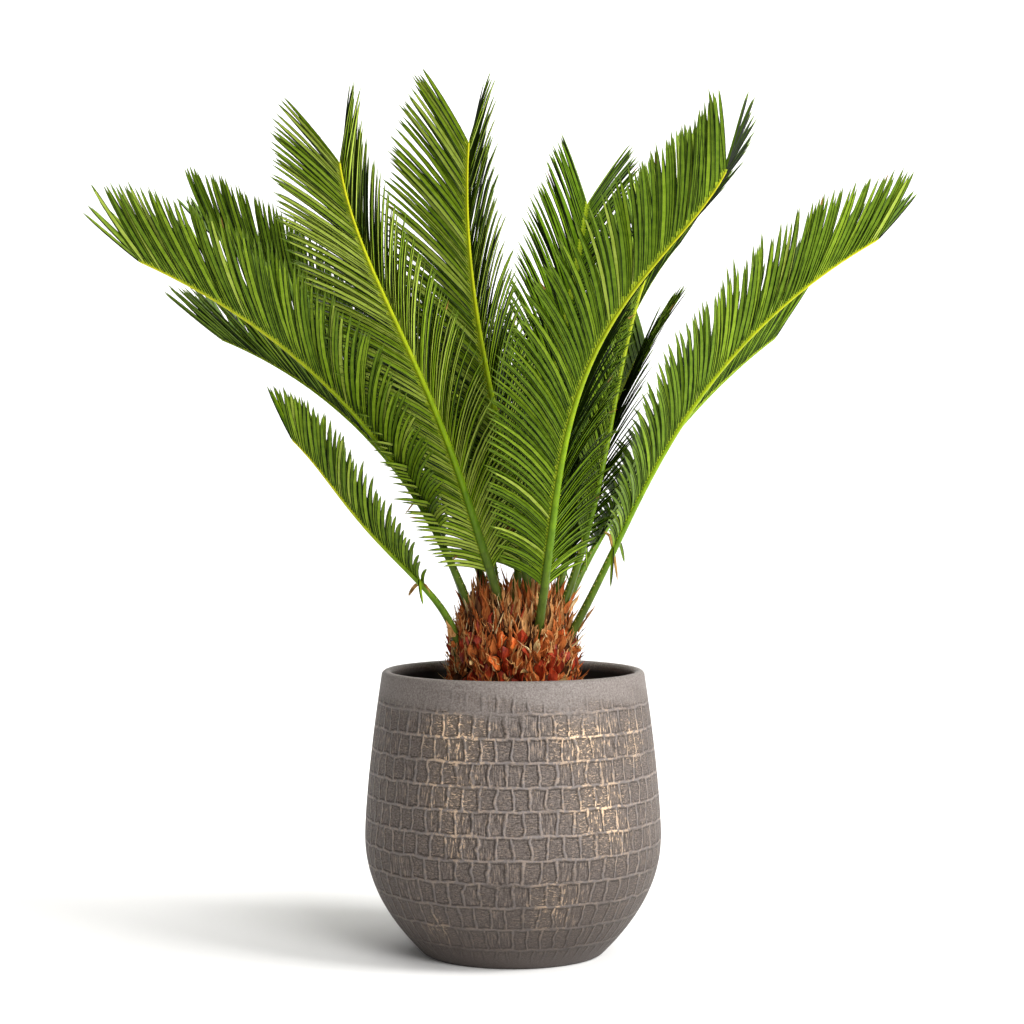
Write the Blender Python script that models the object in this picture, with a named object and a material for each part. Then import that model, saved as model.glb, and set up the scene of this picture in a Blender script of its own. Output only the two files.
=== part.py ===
"""Sago palm (Cycas revoluta) in a round stoneware pot, in metres, +Z up.

The origin is under the middle of the pot, on the surface that it stands on. +X is to the right and -Y
is towards whoever looks at the plant. Each frond is grown from its foot on the trunk by one rule: the rib
bends from one pair of slopes to the next, and the leaflets stand on both its sides in a V.
"""

import math
from collections import namedtuple

import bmesh
import bpy
import numpy as np
from mathutils import Vector
from mathutils.bvhtree import BVHTree

# Driving dimensions
GAP = 0.0003
FACETS = 36

POT_HEIGHT = 0.254
POT_WALL = 0.009
POT_FLOOR = 0.012
FOOT_RADIUS = 0.080
BELLY_RADIUS = 0.133
BELLY_HEIGHT = 0.107
MOUTH_RADIUS = 0.118
FOOT_BEVEL = 0.002

SOIL_LEVEL = 0.214
SOIL_MOUND = 0.004

TRUNK_TOP = 0.306
TRUNK_SIDES = 18
TRUNK_ROWS = 7
TRUNK_GIRTH = (
    (0.0, 0.050), (0.2, 0.055), (0.45, 0.056), (0.68, 0.052), (0.86, 0.044), (0.96, 0.035), (1.0, 0.022)
)
SCALE_REACH = (0.006, 0.009)
SCALE_RISE = (0.006, 0.026)

PETIOLE_RADIUS = 0.0044
TIP_RADIUS = 0.0012
RIB_SIDES = 6
PETIOLE_STATIONS = 5
SINK = 0.016
PAIRS = 24
LEAFLET_FILL = 0.5
LEAFLET_THICKNESS = 0.0016
BEND_AT = 0.45
BOW_STARTS = 0.4
CLEARANCE = 0.0006
SHORTENED = (1.0, 0.8, 0.62, 0.45)

# LEAFLET_FILL is a leaflet's width as a share of the room between it and the next one. The tables run from
# the lowest pair to the highest: the share of the frond's longest leaflet, how many degrees a leaflet leans
# off the rib and how many it bows away from it, and the share of the frond's vee that lifts it.
LEAFLET_LENGTHS = ((0.0, 0.42), (0.12, 0.72), (0.35, 1.0), (0.7, 1.0), (0.9, 0.86), (1.0, 0.72))
LEAFLET_ANGLES = ((0.0, 62), (0.15, 50), (0.4, 41), (0.7, 38), (1.0, 34))
LEAFLET_BOWS = ((0.0, 34), (0.5, 22), (1.0, 6))
LEAFLET_LIFTS = ((0.0, 0.35), (0.3, 0.85), (0.6, 1.0), (1.0, 1.1))

# sway is the rib's slope to the right and lean its slope away from the viewer, both off the vertical in
# degrees, evenly spaced from foot to tip. face is the heading of the upper side (0 right, 90 away), roll
# turns the blade about its rib at foot and tip, vee lifts the leaflets, and bare is the petiole's share.
Frond = namedtuple("Frond", "name foot length sway lean face roll vee leaflet bare")
FRONDS = (
    Frond("frond_left_low", (-0.049, -0.022, 0.275), 0.245, (-6, -44, -38, -46), (-10, -22, -24, -24),
          20, (0, 0), 40, 0.074, 0.26),
    Frond("frond_left_arch", (-0.034, -0.012, 0.298), 0.448, (-19, -33, -50, -66), (-16, -22, -24, -20),
          20, (-5, -5), 50, 0.109, 0.20),
    Frond("frond_left_front", (-0.008, -0.026, 0.308), 0.442, (-20, -19, -24, -6), (-16, -24, -30, -36),
          80, (20, 30), 38, 0.099, 0.09),
    Frond("frond_centre", (0.014, -0.014, 0.304), 0.421, (-2, -12, -8, 4), (-10, -10, -8, -6),
          90, (20, 30), 38, 0.112, 0.09),
    Frond("frond_right_front", (0.022, -0.042, 0.289), 0.460, (7, 7, 18, 38, 27), (-20, -24, -26, -26, -24),
          110, (-5, 45), 38, 0.104, 0.10),
    Frond("frond_right_arch", (0.048, -0.018, 0.282), 0.452, (30, 27, 42, 60), (-10, -12, -10, -8),
          165, (4, 4), 44, 0.098, 0.20),
    Frond("frond_left_back", (-0.038, 0.020, 0.298), 0.400, (-16, -35, -52, -68), (18, 30, 36, 40),
          340, (0, 0), 36, 0.104, 0.20),
    Frond("frond_right_inner", (0.040, -0.006, 0.300), 0.460, (22, 14, 12, 20, 38), (10, 18, 24, 28, 30),
          200, (-30, -30), 36, 0.092, 0.16),
    Frond("frond_back_upright", (0.000, 0.012, 0.306), 0.416, (7, 11, 12, 9), (12, 20, 24, 28),
          260, (10, 10), 34, 0.104, 0.09),
    Frond("frond_back_left", (-0.018, 0.018, 0.304), 0.445, (-15, -32, -43, -56), (6, 8, 10, 12),
          10, (0, 0), 44, 0.094, 0.09),
    Frond("frond_back_right", (0.016, 0.026, 0.304), 0.418, (14, 19, 24, 40), (14, 24, 32, 36),
          250, (-44, -44), 34, 0.104, 0.09),
    Frond("frond_right_outer", (0.034, 0.012, 0.302), 0.310, (16, 18, 22, 32), (20, 30, 36, 40),
          230, (0, 0), 34, 0.100, 0.16),
    Frond("frond_right_back", (0.042, 0.024, 0.296), 0.385, (22, 35, 44, 54), (20, 32, 38, 40),
          200, (0, 0), 36, 0.104, 0.20),
    Frond("frond_rear_left", (-0.012, 0.038, 0.298), 0.430, (-6, -14, -16, -16), (26, 46, 58, 66),
          290, (0, 0), 40, 0.110, 0.18),
    Frond("frond_rear_right", (0.012, 0.042, 0.297), 0.430, (8, 14, 16, 16), (26, 44, 56, 66),
          250, (0, 0), 40, 0.110, 0.18),
)


def clear_scene():
    for obj in list(bpy.data.objects):
        bpy.data.objects.remove(obj)


def finish(name, roughness, colour):
    material = bpy.data.materials.new(name)
    material.use_nodes = True
    shader = material.node_tree.nodes["Principled BSDF"]
    shader.inputs["Base Color"].default_value = (*colour, 1.0)
    shader.inputs["Roughness"].default_value = roughness
    return material


def add_object(name, bm, place, material, smooth_degrees):
    """Makes the object of a mesh that is drawn in world coordinates, with its origin at place."""
    bmesh.ops.recalc_face_normals(bm, faces=bm.faces)
    if bm.calc_volume(signed=True) < 0:
        bmesh.ops.reverse_faces(bm, faces=bm.faces)
    bmesh.ops.translate(bm, verts=bm.verts, vec=-Vector(place))
    mesh = bpy.data.meshes.new(name)
    bm.to_mesh(mesh)
    bm.free()
    mesh.shade_smooth()
    mesh.set_sharp_from_angle(angle=math.radians(smooth_degrees))
    mesh.materials.append(material)
    obj = bpy.data.objects.new(name, mesh)
    obj.location = place
    bpy.context.scene.collection.objects.link(obj)
    return obj


# Pot
def pot_radius(height):
    """The outer radius of the pot's wall: a round belly that draws in to the foot and to the mouth."""
    if height < BELLY_HEIGHT:
        part = (BELLY_HEIGHT - height) / BELLY_HEIGHT
        return BELLY_RADIUS - (BELLY_RADIUS - FOOT_RADIUS) * part**2.1
    part = (height - BELLY_HEIGHT) / (POT_HEIGHT - POT_WALL / 2 - BELLY_HEIGHT)
    return BELLY_RADIUS - (BELLY_RADIUS - MOUTH_RADIUS) * part**1.45


def turned(profile):
    """A solid of revolution. The profile runs from the axis over the top, down the outside and back."""
    bm = bmesh.new()
    rings = []
    for radius, height in profile:
        if radius == 0:
            rings.append([bm.verts.new((0, 0, height))])
            continue
        turns = [2 * math.pi * k / FACETS for k in range(FACETS)]
        rings.append([bm.verts.new((radius * math.cos(a), radius * math.sin(a), height)) for a in turns])
    for one, two in zip(rings, rings[1:]):
        for k in range(FACETS):
            after = (k + 1) % FACETS
            corners = [one[k % len(one)], one[after % len(one)], two[after % len(two)], two[k % len(two)]]
            bm.faces.new(dict.fromkeys(corners))
    return bm


def make_pot(material):
    rim = POT_WALL / 2
    shoulder = POT_HEIGHT - rim
    inside = [(pot_radius(z) - POT_WALL, z) for z in np.linspace(POT_FLOOR, shoulder, 6)]
    lip_middle = MOUTH_RADIUS - rim
    bends = np.radians((45, 90, 135))
    lip = [(lip_middle - rim * math.cos(a), shoulder + rim * math.sin(a)) for a in bends]
    outside = [(pot_radius(z), z) for z in np.linspace(shoulder, FOOT_BEVEL, 12)]
    profile = [(0, POT_FLOOR), *inside, *lip, *outside, (FOOT_RADIUS - FOOT_BEVEL, 0), (0, 0)]
    return add_object("pot", turned(profile), (0, 0, 0), material, 50)


def make_soil(material):
    """Potting soil fills the pot to 40 mm under its rim, and is level where the trunk stands."""
    top = SOIL_LEVEL - GAP
    reach = pot_radius(SOIL_LEVEL) - POT_WALL - GAP
    surface = [(0, top), (0.068, top), (0.088, top + SOIL_MOUND), (reach, top - SOIL_MOUND)]
    heights = np.linspace(POT_FLOOR, POT_HEIGHT - POT_WALL / 2, 6)[3::-1]
    wall = [(pot_radius(z) - POT_WALL - 3 * GAP, z) for z in heights[:-1]]
    wall.append((pot_radius(POT_FLOOR) - POT_WALL - 3 * GAP, POT_FLOOR + GAP))
    profile = [*surface, *wall, (0, POT_FLOOR + GAP)]
    return add_object("soil", turned(profile), (0, 0, 0), material, 40)


# Rule of growth
def at(table, part):
    return np.interp(part, [row[0] for row in table], [row[1] for row in table])


def through(values, parts):
    """The smooth curve through values that are evenly spaced over 0 to 1."""
    places = np.linspace(0, 1, len(values))
    total = np.zeros_like(parts)
    for value, place in zip(values, places):
        others = places[places != place]
        total += value * np.prod([(parts - other) / (place - other) for other in others], axis=0)
    return total


def unit(rows):
    return rows / np.linalg.norm(rows, axis=-1, keepdims=True)


def rib_frames(frond, steps=240):
    """Points of the rib, with its direction, its upper side and its right side at each of them."""
    parts = np.linspace(0, 1, steps + 1)
    slopes = [np.tan(np.radians(through(angles, parts))) for angles in (frond.sway, frond.lean)]
    along = unit(np.stack([*slopes, np.ones_like(parts)], axis=1))
    strides = (along[1:] + along[:-1]) / 2 * frond.length / steps
    points = np.array(frond.foot) + np.vstack([np.zeros(3), np.cumsum(strides, axis=0)])
    heading = math.radians(frond.face)
    inward = np.array([math.cos(heading), math.sin(heading), 0.0])
    upper = unit(inward - along * (along @ inward)[:, None])
    side = np.cross(along, upper)
    roll = np.radians(np.interp(parts, [0, 1], frond.roll))[:, None]
    turned_upper = upper * np.cos(roll) + side * np.sin(roll)
    turned_side = side * np.cos(roll) - upper * np.sin(roll)
    return parts, points, along, turned_upper, turned_side


def frame_at(frames, part):
    """One frame of the rib. Below the foot the rib runs on straight, into the trunk."""
    parts, points, along, upper, side = frames
    rows = [[np.interp(part, parts, rows[:, k]) for k in range(3)] for rows in (points, along, upper, side)]
    point, forward, up, right = (np.array(row) for row in rows)
    if part < 0:
        length = np.linalg.norm(points[1] - points[0]) / parts[1]
        point = point + forward * part * length
    return point, unit(forward), unit(up), unit(right)


def rib_radius(part):
    return TIP_RADIUS + (PETIOLE_RADIUS - TIP_RADIUS) * (1 - max(part, 0)) ** 0.8


def rib_rings(frond, frames, stations, spare=0.0):
    """Corners of the six-sided rib at each station, grown by spare on all sides."""
    rings = []
    for part in stations:
        point, _, up, right = frame_at(frames, part)
        size = rib_radius(part) + spare
        turns = [math.tau * (k + 0.5) / RIB_SIDES for k in range(RIB_SIDES)]
        rings.append([point + size * (math.cos(a) * right + math.sin(a) * up) for a in turns])
    return rings


def petiole_stations(frond):
    return list(np.linspace(-SINK / frond.length, frond.bare, PETIOLE_STATIONS + 1))


def all_stations(frond):
    return petiole_stations(frond) + list(np.linspace(frond.bare, 1, PAIRS + 1)[1:])


def leaflet_corners(frond, frames, part, hand, root, scale, spare=0.0):
    """Four corners at a leaflet's bend, and its point. It leans forward and bows away from the rib."""
    place = (part - frond.bare) / (1 - frond.bare)
    _, forward, up, right = frame_at(frames, part)
    length = frond.leaflet * at(LEAFLET_LENGTHS, place) * scale
    pitch = frond.length * (1 - frond.bare) / PAIRS
    broad = LEAFLET_FILL * pitch * math.sin(math.radians(at(LEAFLET_ANGLES, place)))
    centre = np.mean(root, axis=0)
    corners = []
    for share, middle in ((BEND_AT, BEND_AT / 2), (1 - BEND_AT, (1 + BEND_AT) / 2)):
        bend = at(LEAFLET_BOWS, place) * (middle - BOW_STARTS)
        angle = math.radians(at(LEAFLET_ANGLES, place) + bend)
        lift = math.radians(frond.vee * at(LEAFLET_LIFTS, place) - abs(bend) / 3)
        outward = math.cos(lift) * hand * right + math.sin(lift) * up
        heading = math.cos(angle) * forward + math.sin(angle) * outward
        centre = centre + heading * length * share
        if not corners:
            width = unit(forward - heading * (forward @ heading)) * (broad / 2 + spare)
            thick = unit(np.cross(heading, width)) * (LEAFLET_THICKNESS / 2 + spare)
            corners = [centre - width - thick, centre + width - thick]
            corners += [centre + width + thick, centre - width + thick]
    return corners, centre + heading * spare


def leaflet_polygons(root, corners, tip):
    """The closed shape of one leaflet, for finding out what it would touch."""
    points = [*root, *corners, tip]
    sides = [(k, (k + 1) % 4, 4 + (k + 1) % 4, 4 + k) for k in range(4)]
    point_sides = [(4 + k, 4 + (k + 1) % 4, 8) for k in range(4)]
    return [Vector(point) for point in points], sides + point_sides


def tube_polygons(rings):
    points = [Vector(point) for ring in rings for point in ring]
    faces = []
    for row in range(len(rings) - 1):
        for k in range(RIB_SIDES):
            after = (k + 1) % RIB_SIDES
            base = row * RIB_SIDES
            faces.append((base + k, base + after, base + RIB_SIDES + after, base + RIB_SIDES + k))
    return points, faces


def joined(pieces):
    """One search tree over several lists of points and faces."""
    points, faces = [], []
    for some_points, some_faces in pieces:
        start = len(points)
        points.extend(some_points)
        faces.extend(tuple(start + k for k in face) for face in some_faces)
    return BVHTree.FromPolygons(points, faces)


def tube_mesh(rings):
    bm = bmesh.new()
    verts = [[bm.verts.new(point) for point in ring] for ring in rings]
    for one, two in zip(verts, verts[1:]):
        for k in range(RIB_SIDES):
            after = (k + 1) % RIB_SIDES
            bm.faces.new((one[k], one[after], two[after], two[k]))
    bm.faces.new(verts[0])
    bm.faces.new(verts[-1])
    return bm


# Trunk
def make_trunk(material):
    """A barrel of old leaf bases: each of its faces is drawn out to a scale that points up and out."""
    bm = bmesh.new()
    height = TRUNK_TOP - SOIL_LEVEL
    rings = []
    for row in range(TRUNK_ROWS + 1):
        part = row / TRUNK_ROWS
        radius = at(TRUNK_GIRTH, part)
        twist = 0.62 * row
        turns = [math.tau * (k + twist) / TRUNK_SIDES for k in range(TRUNK_SIDES)]
        level = SOIL_LEVEL + height * math.sin(part * math.pi / 2) ** 0.9
        rings.append([bm.verts.new((radius * math.cos(a), radius * math.sin(a), level)) for a in turns])
    for row, (one, two) in enumerate(zip(rings, rings[1:])):
        part = row / (TRUNK_ROWS - 1)
        for k in range(TRUNK_SIDES):
            after = (k + 1) % TRUNK_SIDES
            corners = (one[k], one[after], two[after], two[k])
            middle = sum((corner.co for corner in corners), Vector()) / 4
            out = Vector((middle.x, middle.y, 0)).normalized()
            vary = 0.75 + 0.5 * ((k * 0.618 + row * 0.37) % 1)
            reach = (SCALE_REACH[0] + (SCALE_REACH[1] - SCALE_REACH[0]) * (1 - part)) * vary
            rise = (SCALE_RISE[0] + (SCALE_RISE[1] - SCALE_RISE[0]) * part) * vary
            point = bm.verts.new(middle + out * reach + Vector((0, 0, rise)))
            for j in range(4):
                bm.faces.new((corners[j], corners[(j + 1) % 4], point))
    bm.faces.new(rings[0])
    bm.faces.new(rings[-1])
    return add_object("trunk", bm, (0, 0, SOIL_LEVEL), material, 25)


def cut_sockets(trunk, cutters):
    """Cuts a socket for each petiole, and drops any crumb that a cut leaves loose."""
    sockets = bpy.data.collections.new("sockets")
    for obj in cutters:
        sockets.objects.link(obj)
        bpy.context.scene.collection.objects.unlink(obj)
    bpy.context.scene.collection.children.link(sockets)
    cut = trunk.modifiers.new("sockets", "BOOLEAN")
    cut.operation = "DIFFERENCE"
    cut.operand_type = "COLLECTION"
    cut.collection = sockets
    bpy.context.view_layer.update()
    evaluated = trunk.evaluated_get(bpy.context.evaluated_depsgraph_get())
    bm = bmesh.new()
    bm.from_mesh(evaluated.to_mesh())
    trunk.modifiers.clear()
    for obj in cutters:
        bpy.data.objects.remove(obj)
    bpy.data.collections.remove(sockets)
    drop_crumbs(bm)
    bm.to_mesh(trunk.data)
    bm.free()


def drop_crumbs(bm):
    left = set(bm.verts)
    islands = []
    while left:
        island = set()
        unseen = [next(iter(left))]
        while unseen:
            vert = unseen.pop()
            if vert in island:
                continue
            island.add(vert)
            unseen.extend(edge.other_vert(vert) for edge in vert.link_edges)
        islands.append(island)
        left -= island
    largest = max(islands, key=len)
    crumbs = [vert for vert in bm.verts if vert not in largest]
    bmesh.ops.delete(bm, geom=crumbs, context="VERTS")


def polygons_of(obj):
    points = [obj.matrix_world @ vert.co for vert in obj.data.vertices]
    return points, [tuple(face.vertices) for face in obj.data.polygons]


# Fronds
def make_frond(frond, frames, obstacles, material):
    """One closed body: the rib, and from each of its side faces a leaflet, where that has room."""
    stations = all_stations(frond)
    rings = rib_rings(frond, frames, stations)
    bm = bmesh.new()
    verts = [[bm.verts.new(point) for point in ring] for ring in rings]
    kept = []
    wings = {RIB_SIDES - 1: 1, RIB_SIDES // 2 - 1: -1}
    for row in range(len(rings) - 1):
        for k in range(RIB_SIDES):
            after = (k + 1) % RIB_SIDES
            face = (verts[row][k], verts[row + 1][k], verts[row + 1][after], verts[row][after])
            grown = None
            if row >= PETIOLE_STATIONS and k in wings:
                grown = grow_leaflet(frond, frames, stations[row : row + 2], wings[k], face, obstacles)
            if grown is None:
                bm.faces.new(face)
                continue
            corners, tip = grown
            kept.append(leaflet_polygons([vert.co for vert in face], corners, tip))
            bend = [bm.verts.new(corner) for corner in corners]
            point = bm.verts.new(tip)
            for j in range(4):
                bm.faces.new((face[j], face[(j + 1) % 4], bend[(j + 1) % 4], bend[j]))
                bm.faces.new((bend[j], bend[(j + 1) % 4], point))
    bm.faces.new(verts[0])
    bm.faces.new(verts[-1])
    add_object(frond.name, bm, frond.foot, material, 35)
    return kept


def grow_leaflet(frond, frames, parts, hand, face, obstacles):
    """The longest leaflet of this root that touches nothing, as its corners and point, or None."""
    part = sum(parts) / 2
    root = [np.array(vert.co) for vert in face]
    centre = np.mean(root, axis=0)
    for scale in SHORTENED:
        probe_corners, probe_tip = leaflet_corners(frond, frames, part, hand, root, scale, CLEARANCE)
        probe_root = [centre + (corner - centre) * 1.1 for corner in root]
        probe = BVHTree.FromPolygons(*leaflet_polygons(probe_root, probe_corners, probe_tip))
        if any(probe.overlap(tree) for tree in obstacles):
            continue
        return leaflet_corners(frond, frames, part, hand, root, scale)
    return None


def main():
    clear_scene()
    stoneware = finish("stoneware", 0.75, (0.13, 0.11, 0.10))
    potting_soil = finish("potting_soil", 0.95, (0.03, 0.02, 0.015))
    leaf_bases = finish("leaf_bases", 0.85, (0.26, 0.08, 0.03))
    leaf_green = finish("leaf_green", 0.45, (0.09, 0.22, 0.02))
    pot = make_pot(stoneware)
    make_soil(potting_soil)
    trunk = make_trunk(leaf_bases)
    frames = {frond.name: rib_frames(frond) for frond in FRONDS}
    ribs = {}
    cutters = []
    for frond in FRONDS:
        stations = all_stations(frond)
        ribs[frond.name] = tube_polygons(rib_rings(frond, frames[frond.name], stations, CLEARANCE))
        deep = [stations[0] - GAP / frond.length, *stations[1 : PETIOLE_STATIONS + 1]]
        socket = tube_mesh(rib_rings(frond, frames[frond.name], deep, 1.2 * GAP))
        cutters.append(add_object("socket_" + frond.name, socket, (0, 0, 0), leaf_bases, 30))
    bpy.context.view_layer.update()
    cut_sockets(trunk, cutters)
    bpy.context.view_layer.update()
    solids = joined([polygons_of(pot), polygons_of(trunk)])
    grown = []
    for frond in FRONDS:
        other_ribs = joined([ribs[other.name] for other in FRONDS if other is not frond])
        obstacles = [solids, other_ribs]
        if grown:
            obstacles.append(joined(grown))
        grown.extend(make_frond(frond, frames[frond.name], obstacles, leaf_green))


main()
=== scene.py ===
"""Looks of a potted sago palm (Cycas revoluta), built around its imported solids."""

import math
from collections import namedtuple

import bmesh
import bpy
import numpy as np
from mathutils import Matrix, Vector


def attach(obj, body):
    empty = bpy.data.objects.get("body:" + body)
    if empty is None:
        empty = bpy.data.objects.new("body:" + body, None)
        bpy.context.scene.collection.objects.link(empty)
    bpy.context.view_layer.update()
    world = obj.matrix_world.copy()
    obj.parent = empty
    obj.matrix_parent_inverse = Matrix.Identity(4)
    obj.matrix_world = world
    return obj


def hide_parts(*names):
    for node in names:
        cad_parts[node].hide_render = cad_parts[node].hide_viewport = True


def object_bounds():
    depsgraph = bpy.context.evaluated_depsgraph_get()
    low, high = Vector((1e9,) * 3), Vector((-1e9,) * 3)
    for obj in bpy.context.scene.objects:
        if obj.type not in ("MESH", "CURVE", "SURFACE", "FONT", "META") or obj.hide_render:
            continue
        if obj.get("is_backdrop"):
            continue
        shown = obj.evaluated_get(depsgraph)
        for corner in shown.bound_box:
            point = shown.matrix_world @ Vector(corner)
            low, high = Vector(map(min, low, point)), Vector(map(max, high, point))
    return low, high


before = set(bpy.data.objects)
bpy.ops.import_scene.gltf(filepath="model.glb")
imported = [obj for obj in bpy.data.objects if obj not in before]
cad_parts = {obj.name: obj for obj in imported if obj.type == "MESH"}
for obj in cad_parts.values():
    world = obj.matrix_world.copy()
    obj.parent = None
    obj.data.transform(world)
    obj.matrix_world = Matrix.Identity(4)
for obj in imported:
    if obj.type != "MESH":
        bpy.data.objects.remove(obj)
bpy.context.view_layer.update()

# Studio. The plant stands in front of a plain white sweep: a floor that curves up into a back wall.
# The camera stands level with the fronds, 2.2 m away, and tips down a little.
CAMERA_AWAY = 2.2
CAMERA_ASIDE = -0.001
CAMERA_HEIGHT = 0.453
CAMERA_TIP = 1.5
CAMERA_LENS = 86.3
SENSOR = 36.0

WHITE = "#F4F3F1"
SWEEP_FRONT = -4.0
SWEEP_BACK = 2.6
SWEEP_SIDE = 5.0
SWEEP_TOP = 4.2
SWEEP_BEND = 1.2
WORLD_LIGHT = 0.2


def linear(hex_colour):
    """The linear colour that an sRGB hex value stands for."""
    shares = [int(hex_colour[k : k + 2], 16) / 255 for k in (1, 3, 5)]
    return (*(s / 12.92 if s < 0.04045 else ((s + 0.055) / 1.055) ** 2.4 for s in shares), 1.0)


def new_material(name, settings=None):
    """A new material and the Principled shader on its output, with these sockets of the shader set."""
    material = bpy.data.materials.new(name)
    material.use_nodes = True
    shader = material.node_tree.nodes["Principled BSDF"]
    for key, value in (settings or {}).items():
        shader.inputs[key].default_value = value
    return material, shader


def in_use(sockets, key):
    """The socket of this number, or the one of this name that the node uses at its present settings."""
    if isinstance(key, int):
        return sockets[key]
    return next((socket for socket in sockets if socket.name == key and socket.enabled), None)


def feed(material, node, links):
    """Links each named input from an output, or from the first output in use of another node."""
    for key, source in links.items():
        if isinstance(source, bpy.types.Node):
            source = next(socket for socket in source.outputs if socket.enabled)
        material.node_tree.links.new(source, in_use(node.inputs, key))


def add_node(material, kind, settings=None, links=None):
    """Adds a node, with its settings, which name sockets or properties, and its links."""
    node = material.node_tree.nodes.new(kind)
    for key, value in (settings or {}).items():
        socket = in_use(node.inputs, key)
        if socket is None:
            setattr(node, key, value)
        else:
            socket.default_value = value
    feed(material, node, links or {})
    return node


def deselect_all():
    if bpy.context.mode != "OBJECT":
        bpy.ops.object.mode_set(mode="OBJECT")
    bpy.ops.object.select_all(action="DESELECT")


deselect_all()
bpy.ops.object.camera_add(
    location=(CAMERA_ASIDE, -CAMERA_AWAY, CAMERA_HEIGHT), rotation=(math.radians(90 - CAMERA_TIP), 0, 0)
)
camera = bpy.context.object
camera.data.lens = CAMERA_LENS
camera.data.sensor_width = SENSOR
bpy.context.scene.camera = camera

deselect_all()
bpy.ops.mesh.primitive_plane_add(size=1, location=(0, (SWEEP_FRONT + SWEEP_BACK) / 2, 0))
sweep = bpy.context.object
sweep.name = "studio_sweep"
sweep.scale = (2 * SWEEP_SIDE, SWEEP_BACK - SWEEP_FRONT, 1)
bpy.ops.object.transform_apply(location=True, rotation=True, scale=True)
bpy.ops.object.mode_set(mode="EDIT")
edit = bmesh.from_edit_mesh(sweep.data)
for edge in edit.edges:
    edge.select = all(vert.co.y > SWEEP_BACK - 0.01 for vert in edge.verts)
edit.select_flush_mode()
bpy.ops.mesh.extrude_region_move(TRANSFORM_OT_translate={"value": (0, 0, SWEEP_TOP)})
edit = bmesh.from_edit_mesh(sweep.data)
for edge in edit.edges:
    edge.select = all(vert.co.y > SWEEP_BACK - 0.01 and vert.co.z < 0.01 for vert in edge.verts)
edit.select_flush_mode()
bpy.ops.mesh.bevel(offset=SWEEP_BEND, segments=16)
bpy.ops.object.mode_set(mode="OBJECT")
bpy.ops.object.shade_smooth()

backdrop_paper, shader = new_material("backdrop_paper", {"Base Color": linear(WHITE), "Roughness": 0.9})
sweep.data.materials.append(backdrop_paper)
sweep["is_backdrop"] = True

world = bpy.data.worlds.new("studio")
world.use_nodes = True
world.node_tree.nodes["Background"].inputs["Color"].default_value = linear("#FFFFFF")
world.node_tree.nodes["Background"].inputs["Strength"].default_value = WORLD_LIGHT
bpy.context.scene.world = world
bpy.context.scene.view_settings.view_transform = "Standard"

# Soft boxes: name, place, what it points at, side in metres, watts
SOFT_BOXES = (
    ("key", (2.1, -1.1, 1.8), (0.0, 0.0, 0.3), 1.15, 76),
    ("front", (1.2, -2.4, 1.4), (0.0, 0.0, 0.35), 1.3, 40),
    ("overhead", (0.3, -0.2, 2.9), (0.0, 0.0, 0.0), 2.4, 40),
    ("wall", (0.0, 0.9, 2.2), (0.0, 2.6, 0.8), 2.4, 60),
)
for name, place, target, side, watts in SOFT_BOXES:
    deselect_all()
    bpy.ops.object.light_add(type="AREA", location=place)
    light = bpy.context.object
    light.name = "light_" + name
    light.rotation_euler = (Vector(target) - Vector(place)).to_track_quat("-Z", "Y").to_euler()
    light.data.size = side
    light.data.energy = watts

# Pot. It is thrown stoneware, fired to a dull brown grey, with a skin of small pressed tiles. The raised
# joints between the tiles were wiped lighter, and they hold flecks of a gold wash. On the front, where
# highlights fall, the flecks and a film of wash are drawn brighter as painted highlights.
POT_HEIGHT = 0.254
POT_WALL = 0.009
FOOT_RADIUS = 0.080
BELLY_RADIUS = 0.133
BELLY_HEIGHT = 0.107
BELLY_GIRTH = math.tau * BELLY_RADIUS
MOUTH_RADIUS = 0.118
FOOT_BEVEL = 0.002
INSIDE_LEVEL = 0.206
POT_STEPS = 360
POT_ROWS = 96
WELD = 0.00002
TILE_ROW = 0.0206
TILES_AROUND = 56
TILE_JOINT = 0.0030

# The pressed skin starts under a plain lip, with a wandering edge, and runs out above the foot
PLAIN_LIP = 0.009
LIP_FADE = 0.030
LIP_WANDER = 0.006
FOOT_FADE = (0.004, 0.022)

# Patches of gold wash. Those on the front sit where highlights fall, and there the wash is partly painted
# highlight: turn round the pot in degrees, height, reach, strength
WASH_AND_HIGHLIGHT_PATCHES = (
    (-113, 0.212, 0.034, 1.0), (-61, 0.210, 0.036, 1.0), (-34, 0.200, 0.024, 0.7),
    (-56, 0.146, 0.030, 0.9), (-50, 0.122, 0.024, 0.7), (-114, 0.160, 0.030, 0.7),
    (-112, 0.120, 0.022, 0.5), (-74, 0.062, 0.026, 0.7), (-125, 0.038, 0.020, 0.5),
    (20, 0.190, 0.035, 0.9), (60, 0.120, 0.030, 0.8), (100, 0.200, 0.032, 0.9),
    (140, 0.110, 0.034, 0.8), (178, 0.190, 0.030, 0.8), (-170, 0.060, 0.024, 0.5),
)


def pot_radius(height):
    """The outer radius of the wall: a round belly that draws in to the foot and to the mouth."""
    if height < BELLY_HEIGHT:
        part = (BELLY_HEIGHT - height) / BELLY_HEIGHT
        return BELLY_RADIUS - (BELLY_RADIUS - FOOT_RADIUS) * part**2.1
    part = (height - BELLY_HEIGHT) / (POT_HEIGHT - POT_WALL / 2 - BELLY_HEIGHT)
    return BELLY_RADIUS - (BELLY_RADIUS - MOUTH_RADIUS) * part**1.45


def smooth_step(low, high, values):
    """A smooth rise from 0 at low to 1 at high."""
    part = np.clip((values - low) / (high - low), 0, 1)
    return part * part * (3 - 2 * part)


def waves(angle, height, seed, count=5):
    """A smooth uneven field round the pot, between about -1 and 1, that meets itself after a full turn."""
    rng = np.random.default_rng(seed)
    total = np.zeros_like(angle + height)
    for _ in range(count):
        around = rng.integers(2, 11)
        upward = rng.uniform(6, 30)
        total += np.sin(around * angle + upward * height * 10 + rng.uniform(0, math.tau))
    return total / count**0.5


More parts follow.
